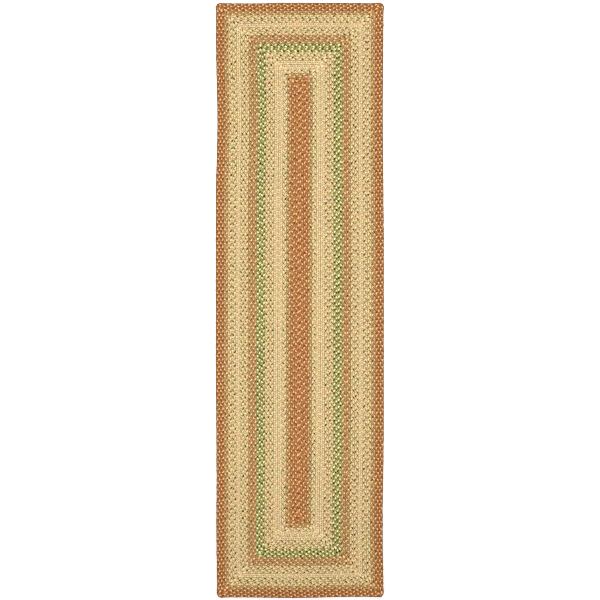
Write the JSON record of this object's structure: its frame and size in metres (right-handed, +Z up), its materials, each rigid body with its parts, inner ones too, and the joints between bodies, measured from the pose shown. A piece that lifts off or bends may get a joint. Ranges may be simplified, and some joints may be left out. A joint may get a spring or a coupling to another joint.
{
  "type": "braided rug",
  "caption": "Flat rectangular runner rug of plaited braid, laid in concentric rounds about a middle seam, in bands of rust, straw, olive and green.",
  "frame": {"origin": "on the floor under the middle of the rug, at the bottom centre of its bounding box", "axes": "+Y along the rug's length, +X across it, +Z up from the floor"},
  "size_m": [0.6897, 2.4383, 0.008],
  "materials": {
    "rust_middle": "matt plaited yarn, rust with a peach strand",
    "rust_olive_line": "matt plaited yarn, rust, olive and peach strands",
    "straw_line": "matt plaited yarn, straw with dark olive flecks",
    "plain_straw": "matt plaited yarn, straw and pale peach",
    "olive_fleck": "matt plaited yarn, straw with olive flecks",
    "green": "matt plaited yarn, cream, mid green and dark green strands",
    "rust_straw": "matt plaited yarn, rust, peach and brown-olive strands",
    "olive_fleck_outer": "matt plaited yarn, straw with olive flecks",
    "plain_straw_outer": "matt plaited yarn, straw and pale peach",
    "gold_fleck": "matt plaited yarn, straw with gold and olive flecks",
    "rust_olive_edge": "matt plaited yarn, rust, olive and peach strands",
    "rust_edge": "matt plaited yarn, rust with a peach strand"
  },
  "bodies": {
    "root": {"round_01": "rust_middle", "round_02": "rust_middle", "round_03": "rust_olive_line", "round_04": "straw_line", "round_05": "plain_straw", "round_06": "plain_straw", "round_07": "olive_fleck", "round_08": "olive_fleck", "round_09": "green", "round_10": "green", "round_11": "rust_straw", "round_12": "rust_straw", "round_13": "olive_fleck_outer", "round_14": "olive_fleck_outer", "round_15": "plain_straw_outer", "round_16": "gold_fleck", "round_17": "gold_fleck", "round_18": "rust_olive_edge", "round_19": "rust_edge", "round_20": "rust_edge"}
  },
  "joints": []
}
